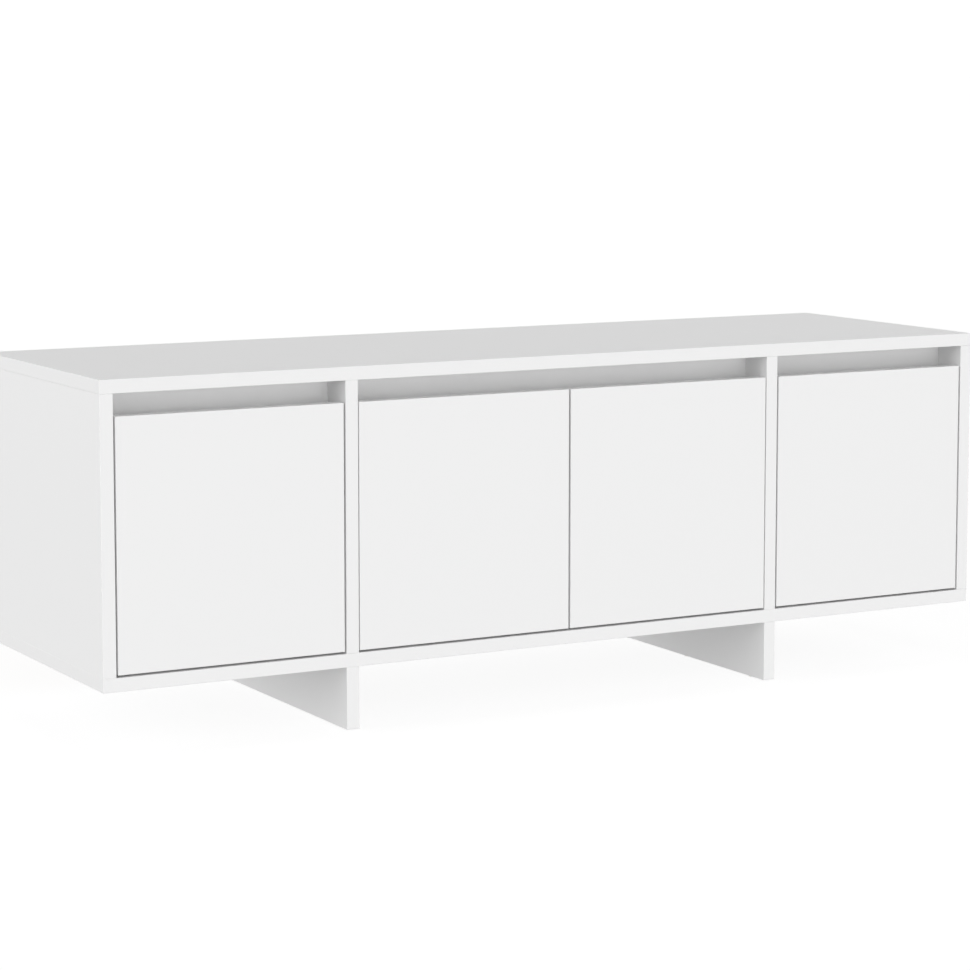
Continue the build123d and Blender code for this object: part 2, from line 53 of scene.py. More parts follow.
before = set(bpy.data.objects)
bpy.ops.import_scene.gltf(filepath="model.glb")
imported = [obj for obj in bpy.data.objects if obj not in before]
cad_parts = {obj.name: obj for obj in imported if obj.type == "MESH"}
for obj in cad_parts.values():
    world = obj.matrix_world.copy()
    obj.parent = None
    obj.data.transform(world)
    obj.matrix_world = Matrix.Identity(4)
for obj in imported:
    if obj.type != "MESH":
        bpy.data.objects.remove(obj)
CAD_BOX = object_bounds()

MM = 0.001
DOOR_PLACES = ("left", "centre_left", "centre_right", "right")
RAIL_PLACES = ("left", "centre", "right")


def colour(code):
    """The linear RGBA of an sRGB hex colour such as "F2F2F0"."""
    channels = [int(code[i:i + 2], 16) / 255 for i in (0, 2, 4)]
    linear = [c / 12.92 if c <= 0.04045 else ((c + 0.055) / 1.055) ** 2.4 for c in channels]
    return (*linear, 1.0)


def darker(shade, share):
    """A linear colour brought down to a share of its brightness."""
    return (*(share * part for part in shade[:3]), 1.0)


# ---- Settings ----
class StandFinishes(bpy.types.PropertyGroup):
    """Colours of the stand's materials."""

    melamine: bpy.props.FloatVectorProperty(
        name="Melamine", description="White melamine foil on both faces of every board",
        subtype="COLOR", size=4, min=0, max=1, default=colour("EFEFEF"))
    edge_band: bpy.props.FloatVectorProperty(
        name="Edge band", description="White ABS band on the visible board edges",
        subtype="COLOR", size=4, min=0, max=1, default=colour("EFEFEF"))
    chipboard_light: bpy.props.FloatVectorProperty(
        name="Chipboard, light chips", description="Pale wood chips in a raw chipboard edge",
        subtype="COLOR", size=4, min=0, max=1, default=colour("D9BE93"))
    chipboard_dark: bpy.props.FloatVectorProperty(
        name="Chipboard, dark chips", description="Dark chips and gaps in a raw chipboard edge",
        subtype="COLOR", size=4, min=0, max=1, default=colour("9A7347"))
    hardboard: bpy.props.FloatVectorProperty(
        name="Hardboard", description="Raw brown rear of the hardboard back",
        subtype="COLOR", size=4, min=0, max=1, default=colour("8A6642"))
    nickel: bpy.props.FloatVectorProperty(
        name="Nickel plating", description="Nickel plating on the pressed hinge parts",
        subtype="COLOR", size=4, min=0, max=1, default=colour("C9C5BC"))
    zinc: bpy.props.FloatVectorProperty(
        name="Zinc", description="Zinc plating and die-cast zinc fittings",
        subtype="COLOR", size=4, min=0, max=1, default=colour("BDBEC0"))
    beech: bpy.props.FloatVectorProperty(
        name="Beech", description="Bare beech of the dowels",
        subtype="COLOR", size=4, min=0, max=1, default=colour("D2AE7C"))
    glide: bpy.props.FloatVectorProperty(
        name="Glide", description="Milky polyethylene of the foot glides",
        subtype="COLOR", size=4, min=0, max=1, default=colour("E6E4DC"))


class StandFittings(bpy.types.PropertyGroup):
    """Sizes of the hinges and the cam locks."""

    cup_radius: bpy.props.FloatProperty(
        name="Cup radius", description="Outside of a hinge cup's bowl",
        subtype="DISTANCE", unit="LENGTH", default=17.5 * MM)
    pin_length: bpy.props.FloatProperty(
        name="Pin length", description="Length of a hinge's pin, from lug to lug",
        subtype="DISTANCE", unit="LENGTH", default=18.8 * MM)
    cam_radius: bpy.props.FloatProperty(
        name="Cam radius", description="Radius of the bore that a cam lock fills",
        subtype="DISTANCE", unit="LENGTH", default=7.5 * MM)
    cam_reach: bpy.props.FloatProperty(
        name="Cam reach", description="From a cam's middle to the joint that it pulls together",
        subtype="DISTANCE", unit="LENGTH", default=24 * MM)
    cam_front: bpy.props.FloatProperty(
        name="Front cams", description="Place of the front cams from the middle of the stand",
        subtype="DISTANCE", unit="LENGTH", default=-110 * MM)
    cam_rear: bpy.props.FloatProperty(
        name="Rear cams", description="Place of the rear cams from the middle of the stand",
        subtype="DISTANCE", unit="LENGTH", default=120 * MM)
    rail_cam: bpy.props.FloatProperty(
        name="Rail cams", description="From the end of a finger rail to its cam",
        subtype="DISTANCE", unit="LENGTH", default=45 * MM)


class StandStudio(bpy.types.PropertyGroup):
    """Floor, light and camera."""

    floor: bpy.props.FloatVectorProperty(
        name="Floor", description="Pale floor that shows in the picture",
        subtype="COLOR", size=4, min=0, max=1, default=colour("939393"))
    floor_glow: bpy.props.FloatProperty(
        name="Floor glow", description="Light of its own that keeps the shown floor near white",
        min=0, max=2, default=0.82)
    sky: bpy.props.FloatProperty(
        name="Sky", description="Strength of the soft light where it is strongest",
        min=0, max=5, default=1.26)
    sky_low: bpy.props.FloatProperty(
        name="Sky at the horizon", description="Share of the sky's strength just over the horizon",
        subtype="FACTOR", min=0, max=1, default=0.894)
    sky_top: bpy.props.FloatProperty(
        name="Sky overhead", description="Share of the sky's strength straight above",
        subtype="FACTOR", min=0, max=1, default=0.0)
    bounce: bpy.props.FloatProperty(
        name="Bounce", description="Share of the sky's strength just under the horizon",
        subtype="FACTOR", min=0, max=1, default=0.58)
    bounce_below: bpy.props.FloatProperty(
        name="Bounce below", description="Share of the sky's strength straight below",
        subtype="FACTOR", min=0, max=1, default=0.177)
    key: bpy.props.FloatProperty(
        name="Key light", description="Strength of the soft light from the front",
        min=0, max=20, default=0.83)
    key_azimuth: bpy.props.FloatProperty(
        name="Key azimuth", description="Where the key light stands, from straight in front",
        subtype="ANGLE", unit="ROTATION", default=0.0)
    key_elevation: bpy.props.FloatProperty(
        name="Key elevation", description="Angle of the key light above the horizon",
        subtype="ANGLE", unit="ROTATION", default=radians(-8))
    side: bpy.props.FloatProperty(
        name="Side light", description="Strength of the soft light from the left",
        min=0, max=20, default=0.685)
    side_azimuth: bpy.props.FloatProperty(
        name="Side azimuth", description="Where the side light stands, from straight in front",
        subtype="ANGLE", unit="ROTATION", default=radians(-90))
    side_elevation: bpy.props.FloatProperty(
        name="Side elevation", description="Angle of the side light above the horizon",
        subtype="ANGLE", unit="ROTATION", default=radians(15))
    softness: bpy.props.FloatProperty(
        name="Softness", description="Angle that the key light and the side light each fill",
        subtype="ANGLE", unit="ROTATION", default=radians(40))
    azimuth: bpy.props.FloatProperty(
        name="Camera azimuth", description="Where the camera stands, from straight in front",
        subtype="ANGLE", unit="ROTATION", default=radians(-28.95))
    elevation: bpy.props.FloatProperty(
        name="Camera elevation", description="How steeply the camera looks down",
        subtype="ANGLE", unit="ROTATION", default=radians(6.14))
    distance: bpy.props.FloatProperty(
        name="Camera distance", description="From the aim to the camera",
        subtype="DISTANCE", unit="LENGTH", default=3.718)
    aim: bpy.props.FloatVectorProperty(
        name="Aim", description="What the camera points at, from the middle of the stand",
        subtype="TRANSLATION", unit="LENGTH", size=3, default=(-0.014, 0, 0.1557))
    lens: bpy.props.FloatProperty(
        name="Lens", description="Focal length on a 36 mm wide sensor, in millimetres",
        min=1, max=500, default=110.67)
    lift: bpy.props.FloatProperty(
        name="Lens shift", description="Upright shift of the lens, as a share of the picture",
        min=-1, max=1, default=-0.1)


# ---- Materials ----
def add(tree, kind, settings=None, values=None, links=None):
    """Add a node with its properties, the values of its sockets, and the outputs that feed it."""
    made = tree.nodes.new(kind)
    for name, value in (settings or {}).items():
        setattr(made, name, value)
    for socket, value in (values or {}).items():
        made.inputs[socket].default_value = value
    for socket, source in (links or {}).items():
        tree.links.new(source, made.inputs[socket])
    return made


def blank(name, roughness, metallic=0.0):
    """A new material with a bare Principled shader, its tree, shader and object coordinates."""
    material = bpy.data.materials.new(name)
    material.use_nodes = True
    tree = material.node_tree
    shader = tree.nodes["Principled BSDF"]
    shader.inputs["Roughness"].default_value = roughness
    shader.inputs["Metallic"].default_value = metallic
    return material, tree, shader, add(tree, "ShaderNodeTexCoord")


def feed(tree, shader, **outputs):
    """Link outputs into the shader's sockets, given by their names in lower case."""
    for socket, source in outputs.items():
        tree.links.new(source, shader.inputs[socket.replace("_", " ").title()])


def melamine_board(way, raw_test):
    """Melamine-faced chipboard: satin white foil, and raw chips where the edge has no band.

    The foil is printed paper in melamine resin, pressed against a fine-grained steel plate, which
    leaves an even satin sheen with a grain of about half a millimetre. The test picks the raw
    surfaces: GREATER_THAN those that face the front or the rear, LESS_THAN all others.
    """
    finishes = bpy.context.scene.stand_finishes
    material, tree, shader, place = blank(f"melamine_faced_chipboard_{way}", 0.45)
    # Pressed grain: 0.5 mm in life, drawn at 1.2 mm so that it shows.
    grain = add(tree, "ShaderNodeTexNoise", values={"Scale": 1 / (1.2 * MM), "Detail": 2.0},
                links={"Vector": place.outputs["Object"]})
    # Raw chips are 1 to 4 mm long and lie flat in the board.
    chips = add(tree, "ShaderNodeTexVoronoi", values={"Scale": 1 / (2.2 * MM)},
                links={"Vector": place.outputs["Object"]})
    chip_tone = add(tree, "ShaderNodeMix", {"data_type": "RGBA"},
                    {"A": finishes.chipboard_light, "B": finishes.chipboard_dark},
                    {"Factor": chips.outputs["Color"]})
    normal = add(tree, "ShaderNodeSeparateXYZ", links={"Vector": place.outputs["Normal"]})
    turned = add(tree, "ShaderNodeMath", {"operation": "ABSOLUTE"}, links={0: normal.outputs["Y"]})
    raw = add(tree, "ShaderNodeMath", {"operation": raw_test}, {1: 0.7}, {0: turned.outputs[0]})
    tone = add(tree, "ShaderNodeMix", {"data_type": "RGBA"}, {"A": finishes.melamine},
               {"Factor": raw.outputs[0], "B": chip_tone.outputs["Result"]})
    rough = add(tree, "ShaderNodeMapRange", values={"To Min": 0.45, "To Max": 0.9},
                links={"Value": raw.outputs[0]})
    bump = add(tree, "ShaderNodeBump", values={"Strength": 0.25, "Distance": 0.02 * MM},
               links={"Height": grain.outputs["Fac"]})
    feed(tree, shader, base_color=tone.outputs["Result"], roughness=rough.outputs["Result"],
         normal=bump.outputs["Normal"])
    return material


def abs_edge_band():
    """White ABS edge band: an extruded strip, trimmed and buffed, a little glossier than foil."""
    finishes = bpy.context.scene.stand_finishes
    material, tree, shader, place = blank("white_abs_edge_band", 0.38)
    shader.inputs["Base Color"].default_value = finishes.edge_band
    # Buffing leaves a soft unevenness about 4 mm long.
    waves = add(tree, "ShaderNodeTexNoise", values={"Scale": 1 / (4 * MM), "Detail": 1.0},
                links={"Vector": place.outputs["Object"]})
    bump = add(tree, "ShaderNodeBump", values={"Strength": 0.15, "Distance": 0.02 * MM},
               links={"Height": waves.outputs["Fac"]})
    feed(tree, shader, normal=bump.outputs["Normal"])
    return material


# ---- Modelling ----
# Fittings are shaped in millimetres and put in place in metres.
def start(kind, stretch=(1, 1, 1), **settings):
    """Add a primitive with nothing else selected, and open it for editing."""
    if bpy.context.mode != "OBJECT":
        bpy.ops.object.mode_set(mode="OBJECT")
    bpy.ops.object.select_all(action="DESELECT")
    getattr(bpy.ops.mesh, f"primitive_{kind}_add")(**settings)
    piece = bpy.context.active_object
    piece.scale = stretch
    bpy.ops.object.transform_apply(location=True, rotation=True, scale=True)
    bpy.ops.object.mode_set(mode="EDIT")
    return piece


def pick(piece, kind, test):
    """Select the piece's verts, edges or faces that pass a test, and nothing else."""
    bpy.ops.mesh.select_mode(type={"verts": "VERT", "edges": "EDGE", "faces": "FACE"}[kind])
    mesh = bmesh.from_edit_mesh(piece.data)
    for item in [*mesh.faces, *mesh.edges, *mesh.verts]:
        item.select_set(False)
    for item in getattr(mesh, kind):
        if test(item):
            item.select_set(True)
    bmesh.update_edit_mesh(piece.data)


def level(axis, at):
    """A test for edges that lie in the plane at this place along an axis."""
    return lambda edge: all(abs(vert.co[axis] - at) < 0.001 for vert in edge.verts)


def along(axis):
    """A test for edges that run along an axis."""
    return lambda edge: abs(edge.verts[0].co[axis] - edge.verts[1].co[axis]) > 1


def shape(piece, operation, tool):
    """Fuse the tool onto the piece or cut it out, and remove the tool."""
    bpy.ops.object.mode_set(mode="OBJECT")
    bpy.ops.object.select_all(action="DESELECT")
    bpy.context.view_layer.objects.active = piece
    modifier = piece.modifiers.new("shape", "BOOLEAN")
    modifier.operation = operation
    modifier.object = tool
    modifier.solver = "EXACT"
    bpy.ops.object.modifier_apply(modifier=modifier.name)
    bpy.data.meshes.remove(tool.data)


def soften(piece, width):
    """Round every sharp edge of the piece that is open for editing, by a small radius."""
    bpy.ops.object.mode_set(mode="OBJECT")
    modifier = piece.modifiers.new("rounding", "BEVEL")
    modifier.width = width
    modifier.segments = 2
    modifier.limit_method = "ANGLE"
    modifier.angle_limit = radians(50)
    bpy.ops.object.modifier_apply(modifier=modifier.name)


def put(pattern, places, name, material):
    """One piece made of a copy of the pattern at each place."""
    copies = []
    for place in places:
        mesh = pattern.data.copy()
        mesh.transform(place @ Matrix.Scale(MM, 4))
        copies.append(bpy.data.objects.new(name, mesh))
        bpy.context.scene.collection.objects.link(copies[-1])
    bpy.ops.object.select_all(action="DESELECT")
    for copy in copies:
        copy.select_set(True)
    piece = bpy.context.view_layer.objects.active = copies[0]
    bpy.ops.object.join()
    bpy.ops.object.shade_smooth_by_angle(angle=radians(35))
    piece.data.materials.clear()
    piece.data.materials.append(material)
    return piece


def clean(piece):
    """Close the slivers that cutting left, and turn all faces outwards."""
    bpy.context.view_layer.objects.active = piece
    bpy.ops.object.mode_set(mode="EDIT")
    bpy.ops.mesh.select_all(action="SELECT")
    bpy.ops.mesh.dissolve_degenerate(threshold=0.002)
    bpy.ops.mesh.normals_make_consistent(inside=False)
    bpy.ops.object.mode_set(mode="OBJECT")
    return piece


# ---- Hinges ----
# The faces of the boards that carry the hinges, and the way each door reaches from its hinges.
HINGES = {
    "left": ("side_panel_left", 1),
    "centre_left": ("divider_left", 1),
    "centre_right": ("divider_right", -1),
    "right": ("side_panel_right", -1),
}
# Where the pin is, out from the board and in from the front, and how far in the arm's screws are.
PIN_OUT, PIN_IN = 16, 5.8
SIDE_SCREW_IN, DEPTH_SCREW_IN = 40, 64


def hinge_places(which):
    """Where a door's hinges sit: X runs out from the board and Y in from the door's front."""
    board, side = HINGES[which]
    low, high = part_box(board)
    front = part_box(f"door_{which}")[0].y
    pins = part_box(f"hinge_pins_{which}")
    half_pin = bpy.context.scene.stand_fittings.pin_length / 2
    face = high.x if side > 0 else low.x
    turn = Matrix.Rotation(0 if side > 0 else pi, 4, "Y")
    heights = (pins[0].z + half_pin, pins[1].z - half_pin)
    return [Matrix.Translation((face, front, height)) @ turn for height in heights]


def upright_disc(radius, near, far, out, height=0.0, add_to=None, vertices=96):
    """A round disc whose axis runs in from the door's front, between two depths."""
    settings = {
        "vertices": vertices, "radius": radius, "depth": far - near,
        "location": (out, (near + far) / 2, height), "rotation": (pi / 2, 0, 0),
    }
    if add_to:
        bpy.ops.mesh.primitive_cylinder_add(**settings)
        return add_to
    return start("cylinder", **settings)


def hinge_cup():
    """A drawn steel cup with a flange, two screw ears and two lugs for the pin."""
    radius = bpy.context.scene.stand_fittings.cup_radius / MM
    middle, wall, floor = 22.5, 0.6, 0.5
    below, mouth, rim = 3, 16, 17
    ear_out, ear_height, ear_radius = 28.5, 24, 5
    lug_height, lug_size, lug_in, lug_top, pin_hole = 8.4, (6, 5.4, 2), 5.7, 2.6, 1.04

    # The flange and its ears are one plate: the hull round three discs.
    cup = upright_disc(radius + 1, mouth, rim, middle)
    for height in (-ear_height, ear_height):
        upright_disc(ear_radius, mouth, rim, ear_out, height, cup, 48)
    bpy.ops.mesh.select_all(action="SELECT")
    bpy.ops.mesh.convex_hull()
    bpy.ops.mesh.dissolve_limited(angle_limit=radians(1))
    pick(cup, "edges", level(1, rim))
    bpy.ops.mesh.bevel(offset=0.35, segments=3, affect="EDGES")

    # A drawn bowl has a rounded heel outside and inside.
    bowl = upright_disc(radius, below, mouth + 0.5, middle)
    pick(bowl, "edges", level(1, below))
    bpy.ops.mesh.bevel(offset=1.8, segments=5, affect="EDGES")
    shape(cup, "UNION", bowl)
    hollow = upright_disc(radius - wall, below + floor, rim + 1, middle)
    pick(hollow, "edges", level(1, below + floor))
    bpy.ops.mesh.bevel(offset=1.3, segments=5, affect="EDGES")
    shape(cup, "DIFFERENCE", hollow)
    bpy.ops.object.mode_set(mode="EDIT")
    inside = radius - wall + 0.05
    pick(cup, "edges", lambda edge: level(1, rim)(edge) and all(
        (vert.co.x - middle) ** 2 + vert.co.z ** 2 < inside ** 2 for vert in edge.verts))
    bpy.ops.mesh.bevel(offset=0.25, segments=3, affect="EDGES")

    # Countersinks, a hair wider than the heads that fill them.
    for height in (-ear_height, ear_height):
        sink = start("cone", vertices=48, radius1=3.08, radius2=1.62, depth=1.06,
                     location=(ear_out, (mouth + rim) / 2, height), rotation=(pi / 2, 0, 0))
        shape(cup, "DIFFERENCE", sink)

    # Pressed lugs with round tops carry the pin.
    for height in (-lug_height, lug_height):
        tab = start("cube", size=1, stretch=lug_size, location=(PIN_OUT, lug_in, height))
        pick(tab, "edges", lambda edge: along(2)(edge) and all(
            vert.co.y > lug_in for vert in edge.verts))
        bpy.ops.mesh.bevel(offset=lug_top, segments=8, affect="EDGES")
        shape(cup, "UNION", tab)
    eye = start("cylinder", vertices=32, radius=pin_hole, depth=20, location=(PIN_OUT, PIN_IN, 0))
    shape(cup, "DIFFERENCE", eye)
    return clean(cup)


def ahead(heading, length):
    """A move of this length along a heading in the level plane."""
    return Vector((cos(heading), sin(heading), 0)) * length


def hinge_arm():
    """A pressed steel arm that leaves the cup in a bend and ends as a channel over its plate."""
    thick, width, out, tail_in = 2, 14, 8, 76
    skirt, skirt_out, skirt_in = 1.4, 2.2, 31
    leaves, first, second, heel = radians(25), 4, 19.5, 3
    knuckle_radius, pin_hole, slot_radius, side_play = 2.05, 1.05, 2.5, 2
    offset = asin(first / (second - first))
    run = ((second - first) ** 2 - first ** 2) ** 0.5

    # The section is pushed along the run and swung round each bend in turn.
    pivot = Vector((PIN_OUT, PIN_IN, 0))
    place, heading = pivot.copy(), leaves
    arm = start("plane", size=1, stretch=(width, thick, 1), location=pivot,
                rotation=(0, pi / 2, heading))

    def push(length):
        nonlocal place
        step = ahead(heading, length)
        place = place + step
        bpy.ops.mesh.extrude_region_move(TRANSFORM_OT_translate={"value": step})

    def swing(radius, angle, steps):
        nonlocal place, heading
        left = 1 if angle > 0 else -1
        middle = place + ahead(heading + left * pi / 2, radius)
        bpy.ops.mesh.spin(steps=steps, angle=-angle, center=middle, axis=(0, 0, 1))
        heading += angle
        place = middle - ahead(heading + left * pi / 2, radius)

    push(run)
    swing(first, pi / 2 + offset, 14)
    swing(second, pi / 2 - leaves - offset, 10)
    push(place.x - out - heel)
    swing(heel, -pi / 2, 8)
    push(skirt_in - place.y)
    push(tail_in - place.y)

    bpy.ops.mesh.select_all(action="SELECT")
    bpy.ops.mesh.normals_make_consistent(inside=False)

    # Two walls are pressed down from the edges of the straight part.
    for side in (-1, 1):
        bpy.ops.mesh.select_all(action="SELECT")
        bpy.ops.mesh.bisect(plane_co=(0, 0, side * (width / 2 - skirt)), plane_no=(0, 0, 1),
                            threshold=0.0001)
    pick(arm, "faces", lambda face: face.normal.x < -0.9
         and face.calc_center_median().y > skirt_in
         and abs(face.calc_center_median().z) > width / 2 - skirt)
    drop = skirt_out - (out - thick / 2)
    bpy.ops.mesh.extrude_region_move(TRANSFORM_OT_translate={"value": (drop, 0, 0)})

    # A stiffening groove runs along the outside of the wide bend.
    def on_wide_bend(face):
        middle = face.calc_center_median()
        return (abs(middle.z) < 1 and middle.y > second
                and abs((middle - pivot).length - second - thick / 2) < 0.3)

    pick(arm, "faces", on_wide_bend)
    bpy.ops.mesh.inset(thickness=1.6, depth=0)
    bpy.ops.mesh.inset(thickness=0.5, depth=-0.5)
    soften(arm, 0.3)

    # The knuckle stays a hair inside the arm's sides, so that no two faces lie together.
    knuckle = start("cylinder", vertices=40, radius=knuckle_radius, depth=width - 0.02,
                    location=pivot)
    shape(arm, "UNION", knuckle)
    eye = start("cylinder", vertices=32, radius=pin_hole, depth=width + 2, location=pivot)
    shape(arm, "DIFFERENCE", eye)

    # A slot for the side screw, and an open one for the depth screw.
    for first_in, last_in in ((SIDE_SCREW_IN - side_play, SIDE_SCREW_IN + side_play),
                              (DEPTH_SCREW_IN, tail_in + 4)):
        slot = start("cylinder", vertices=32, radius=slot_radius, depth=4,
                     location=(out, first_in, 0), rotation=(0, pi / 2, 0))
        pick(slot, "verts", lambda vert: vert.co.y > first_in + 0.001)
        bpy.ops.transform.translate(value=(0, last_in - first_in, 0))
        shape(arm, "DIFFERENCE", slot)
    return clean(arm)


def hinge_plate():
    """A mounting plate: thin wings for its screws, and a block that the arm hooks over."""
    middle_in, length, width, top = 53, 46, 10.8, 7
    wing, wing_radius, wing_height = 1.8, 7, 16
    arm_hole, wing_hole = 2.54, 3.14

    # The wings are the hull round two discs.
    disc = {"vertices": 64, "radius": wing_radius, "depth": wing, "rotation": (0, pi / 2, 0)}
    plate = start("cylinder", location=(wing / 2, middle_in, -wing_height), **disc)
    bpy.ops.mesh.primitive_cylinder_add(location=(wing / 2, middle_in, wing_height), **disc)
    bpy.ops.mesh.select_all(action="SELECT")
    bpy.ops.mesh.convex_hull()
    bpy.ops.mesh.dissolve_limited(angle_limit=radians(1))
    pick(plate, "edges", level(0, wing))
    bpy.ops.mesh.bevel(offset=0.5, segments=3, affect="EDGES")

    block = start("cube", size=1, stretch=(top, length, width), location=(top / 2, middle_in, 0))
    pick(block, "edges", along(0))
    bpy.ops.mesh.bevel(offset=3, segments=8, affect="EDGES")
    pick(block, "edges", level(0, top))
    bpy.ops.mesh.bevel(offset=0.6, segments=3, affect="EDGES")
    shape(plate, "UNION", block)

    # Two threaded holes for the arm's screws, and a hole in each wing.
    holes = [(arm_hole, 1, place_in, 0) for place_in in (SIDE_SCREW_IN, DEPTH_SCREW_IN)]
    holes += [(wing_hole, -1, middle_in, height) for height in (-wing_height, wing_height)]
    for radius, bottom, place_in, height in holes:
        hole = start("cylinder", vertices=32, radius=radius, depth=8,
                     location=(bottom + 4, place_in, height), rotation=(0, pi / 2, 0))
        shape(plate, "DIFFERENCE", hole)
    return clean(plate)


def nickel_plated_steel():
    """Nickel-plated pressed steel: warm grey, bright, and faintly rippled by the press tool."""
    if "nickel_plated_pressed_steel" in bpy.data.materials:
        return bpy.data.materials["nickel_plated_pressed_steel"]
    finishes = bpy.context.scene.stand_finishes
    material, tree, shader, place = blank("nickel_plated_pressed_steel", 0.26, 1.0)
    shader.inputs["Base Color"].default_value = finishes.nickel
    # Tool marks are about 0.8 mm apart.
    ripple = add(tree, "ShaderNodeTexNoise", values={"Scale": 1 / (0.8 * MM), "Detail": 2.0},
                 links={"Vector": place.outputs["Object"]})
    rough = add(tree, "ShaderNodeMapRange", values={"To Min": 0.26, "To Max": 0.31},
                links={"Value": ripple.outputs["Fac"]})
    bump = add(tree, "ShaderNodeBump", values={"Strength": 0.06, "Distance": 0.01 * MM},
               links={"Height": ripple.outputs["Fac"]})
    feed(tree, shader, roughness=rough.outputs["Result"], normal=bump.outputs["Normal"])
    return material


def zinc(name, grain, roughness, strength):
    """Zinc with a grain of this size in millimetres, die-cast when coarse and plated when fine."""
    finishes = bpy.context.scene.stand_finishes
    material, tree, shader, place = blank(name, roughness, 1.0)
    texture = add(tree, "ShaderNodeTexNoise", values={"Scale": 1 / (grain * MM), "Detail": 4.0},
                  links={"Vector": place.outputs["Object"]})
    tone = add(tree, "ShaderNodeMix", {"data_type": "RGBA"},
               {"A": darker(finishes.zinc, 0.7), "B": finishes.zinc},
               {"Factor": texture.outputs["Fac"]})
    bump = add(tree, "ShaderNodeBump", values={"Strength": strength, "Distance": 0.05 * MM},
               links={"Height": texture.outputs["Fac"]})
    feed(tree, shader, base_color=tone.outputs["Result"], normal=bump.outputs["Normal"])
    return material


def bare_beech():
    """Turned beech dowel: pale, with short dark flecks along the grain and a dry surface."""
    finishes = bpy.context.scene.stand_finishes
    material, tree, shader, place = blank("bare_beech", 0.7)
    # Rays show as flecks 0.4 mm wide and 3 mm long; dowels stand upright.
    stretch = add(tree, "ShaderNodeMapping", values={"Scale": (1, 1, 0.13)},
                  links={"Vector": place.outputs["Object"]})
    flecks = add(tree, "ShaderNodeTexNoise", values={"Scale": 1 / (0.4 * MM), "Detail": 2.0},
                 links={"Vector": stretch.outputs["Vector"]})
    tone = add(tree, "ShaderNodeMix", {"data_type": "RGBA"},
               {"A": darker(finishes.beech, 0.6), "B": finishes.beech},
               {"Factor": flecks.outputs["Fac"]})
    feed(tree, shader, base_color=tone.outputs["Result"])
    return material


def hardboard_back():
    """Hardboard: lacquered white inside the stand, raw brown fibres and a screen print behind."""
    finishes = bpy.context.scene.stand_finishes
    material, tree, shader, place = blank("white_faced_hardboard", 0.6)
    # Fibre bundles show as flecks about 3 mm long.
    fibres = add(tree, "ShaderNodeTexNoise",
                 values={"Scale": 1 / (3 * MM), "Detail": 6.0, "Roughness": 0.7},
                 links={"Vector": place.outputs["Object"]})
    brown = add(tree, "ShaderNodeMix", {"data_type": "RGBA"},
                {"A": darker(finishes.hardboard, 0.55), "B": finishes.hardboard},
                {"Factor": fibres.outputs["Fac"]})
    normal = add(tree, "ShaderNodeSeparateXYZ", links={"Vector": place.outputs["Normal"]})
    inside = add(tree, "ShaderNodeMath", {"operation": "LESS_THAN"}, {1: -0.7},
                 {0: normal.outputs["Y"]})
    tone = add(tree, "ShaderNodeMix", {"data_type": "RGBA"}, {"B": finishes.melamine},
               {"Factor": inside.outputs[0], "A": brown.outputs["Result"]})
    rough = add(tree, "ShaderNodeMapRange", values={"To Min": 0.85, "To Max": 0.5},
                links={"Value": inside.outputs[0]})
    # The wire screen of the press leaves a mesh, 2 mm apart, in the raw side.
    screen = add(tree, "ShaderNodeTexVoronoi", {"distance": "CHEBYCHEV"},
                 {"Scale": 1 / (2 * MM), "Randomness": 0.15}, {"Vector": place.outputs["Object"]})
    relief = add(tree, "ShaderNodeMath", {"operation": "ADD"},
                 links={0: screen.outputs["Distance"], 1: fibres.outputs["Fac"]})
    depth = add(tree, "ShaderNodeMapRange", values={"To Min": 0.5, "To Max": 0.08},
                links={"Value": inside.outputs[0]})
    bump = add(tree, "ShaderNodeBump", values={"Distance": 0.1 * MM},
               links={"Height": relief.outputs[0], "Strength": depth.outputs["Result"]})
    feed(tree, shader, base_color=tone.outputs["Result"], roughness=rough.outputs["Result"],
         normal=bump.outputs["Normal"])
    return material


def polyethylene_glide():
    """Moulded polyethylene: milky, waxy and a little scuffed underneath."""
    finishes = bpy.context.scene.stand_finishes
    material, tree, shader, place = blank("moulded_polyethylene", 0.45)
    shader.inputs["Base Color"].default_value = finishes.glide
    shader.inputs["Subsurface Weight"].default_value = 0.3
    shader.inputs["Subsurface Scale"].default_value = 0.5 * MM
    scuffs = add(tree, "ShaderNodeTexNoise", values={"Scale": 1 / (0.8 * MM), "Detail": 4.0},
                 links={"Vector": place.outputs["Object"]})
    rough = add(tree, "ShaderNodeMapRange", values={"To Min": 0.35, "To Max": 0.6},
                links={"Value": scuffs.outputs["Fac"]})
    feed(tree, shader, roughness=rough.outputs["Result"])
    return material


# ---- Cam locks ----
def cam_places():
    """Where the cam locks sit: Z faces out of the board and Y points to the joint."""
    sizes = bpy.context.scene.stand_fittings
    up = Vector((0, 0, 1))
    under_top, over_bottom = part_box("top_panel")[0].z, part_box("bottom_panel")[1].z
    locks = []
    uprights = {"side_panel_left": 1, "divider_left": -1, "divider_right": 1,
                "side_panel_right": -1}
    for board, faces in uprights.items():
        low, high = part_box(board)
        x = high.x if faces > 0 else low.x
        for y in (sizes.cam_front, sizes.cam_rear):
            locks.append((Vector((x, y, under_top)), Vector((faces, 0, 0)), up))
            locks.append((Vector((x, y, over_bottom)), Vector((faces, 0, 0)), -up))
    for rail in RAIL_PLACES:
        low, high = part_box(f"finger_rail_{rail}")
        for x in (low.x + sizes.rail_cam, high.x - sizes.rail_cam):
            locks.append((Vector((x, high.y, under_top)), Vector((0, 1, 0)), up))
    places = []
    for joint, faces, towards in locks:
        turn = Matrix((towards.cross(faces), towards, faces)).transposed().to_4x4()
        places.append(Matrix.Translation(joint - towards * sizes.cam_reach) @ turn)
    return places


